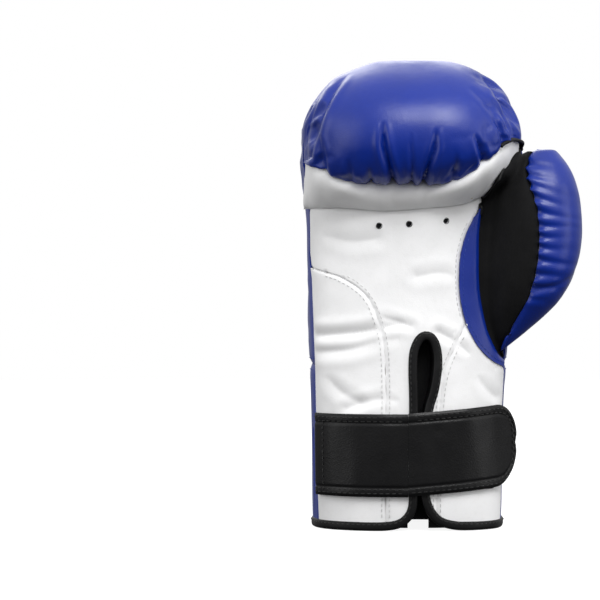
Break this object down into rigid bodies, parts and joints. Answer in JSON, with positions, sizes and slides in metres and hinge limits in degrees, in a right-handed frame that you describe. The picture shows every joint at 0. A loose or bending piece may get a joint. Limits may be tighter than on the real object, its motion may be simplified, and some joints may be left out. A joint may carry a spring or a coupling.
{
  "type": "boxing glove",
  "caption": "Padded training glove with a rounded fist, a thumb with a dark inner gusset, a slit cuff with bound edges and a wrist strap that peels open.",
  "frame": {"origin": "middle of the cuff at the hem, where the hand goes in", "axes": "+Z from the hem to the knuckles, -Y out of the palm, +X towards the thumb (right-hand glove)"},
  "size_m": [0.1681, 0.1303, 0.2801],
  "materials": {
    "blue_leather": "satin, fine grain",
    "white_leather": "satin, fine grain",
    "black_leather": "satin, grained",
    "black_cloth": "matt, fine knit",
    "foam": "matt, open cell",
    "patch_grey": "satin",
    "patch_ink": "satin",
    "patch_panel": "matt",
    "hook_tape": "matt, hooked",
    "loop_tape": "matt, looped pile"
  },
  "bodies": {
    "glove": {"main_cover": "blue_leather", "cuff_back_cover": "blue_leather", "thumb_base_strip": "blue_leather", "palm_cover": "white_leather", "heel_cover": "white_leather", "cuff_corner_cover": "white_leather", "grip_cover": "white_leather", "finger_underside": "white_leather", "hem_binding": "black_leather", "slit_binding": "black_leather", "strap_anchor": "black_leather", "web_panel": "black_cloth", "slit_gusset": "black_cloth", "hand_lining": "black_cloth", "finger_lining": "black_cloth", "grip_roll": "foam", "cuff_padding": "foam", "hand_back_padding": "foam", "palm_padding": "foam", "knuckle_padding": "foam", "finger_padding": "foam", "badge_patch": "patch_grey", "badge_border": "patch_ink", "badge_panel": "patch_panel", "loop_patch": "loop_tape"},
    "strap_base": {"strap_base": "black_leather"},
    "strap_tab": {"strap_tab": "black_leather", "hook_patch": "hook_tape"},
    "thumb": {"thumb_cover": "blue_leather", "thumb_gusset": "black_cloth", "thumb_padding": "foam", "thumb_lining": "black_cloth"}
  },
  "joints": [
    {"name": "strap_open", "type": "hinge", "parent": "glove", "child": "strap_base", "pos_m": [-0.04875, -0.03, 0.045], "axis": [0, 0, -1], "range_deg": [0, 150]},
    {"name": "strap_tab_peel", "type": "hinge", "parent": "strap_base", "child": "strap_tab", "pos_m": [-0.00175, -0.0424, 0.045], "axis": [0, 0, -1], "range_deg": [0, 120]},
    {"name": "thumb_swing", "type": "hinge", "parent": "glove", "child": "thumb", "pos_m": [0.054, -0.015, 0.11], "axis": [0, 1, 0], "range_deg": [0, 6], "stiffness_Nm_per_rad": 0.6}
  ]
}
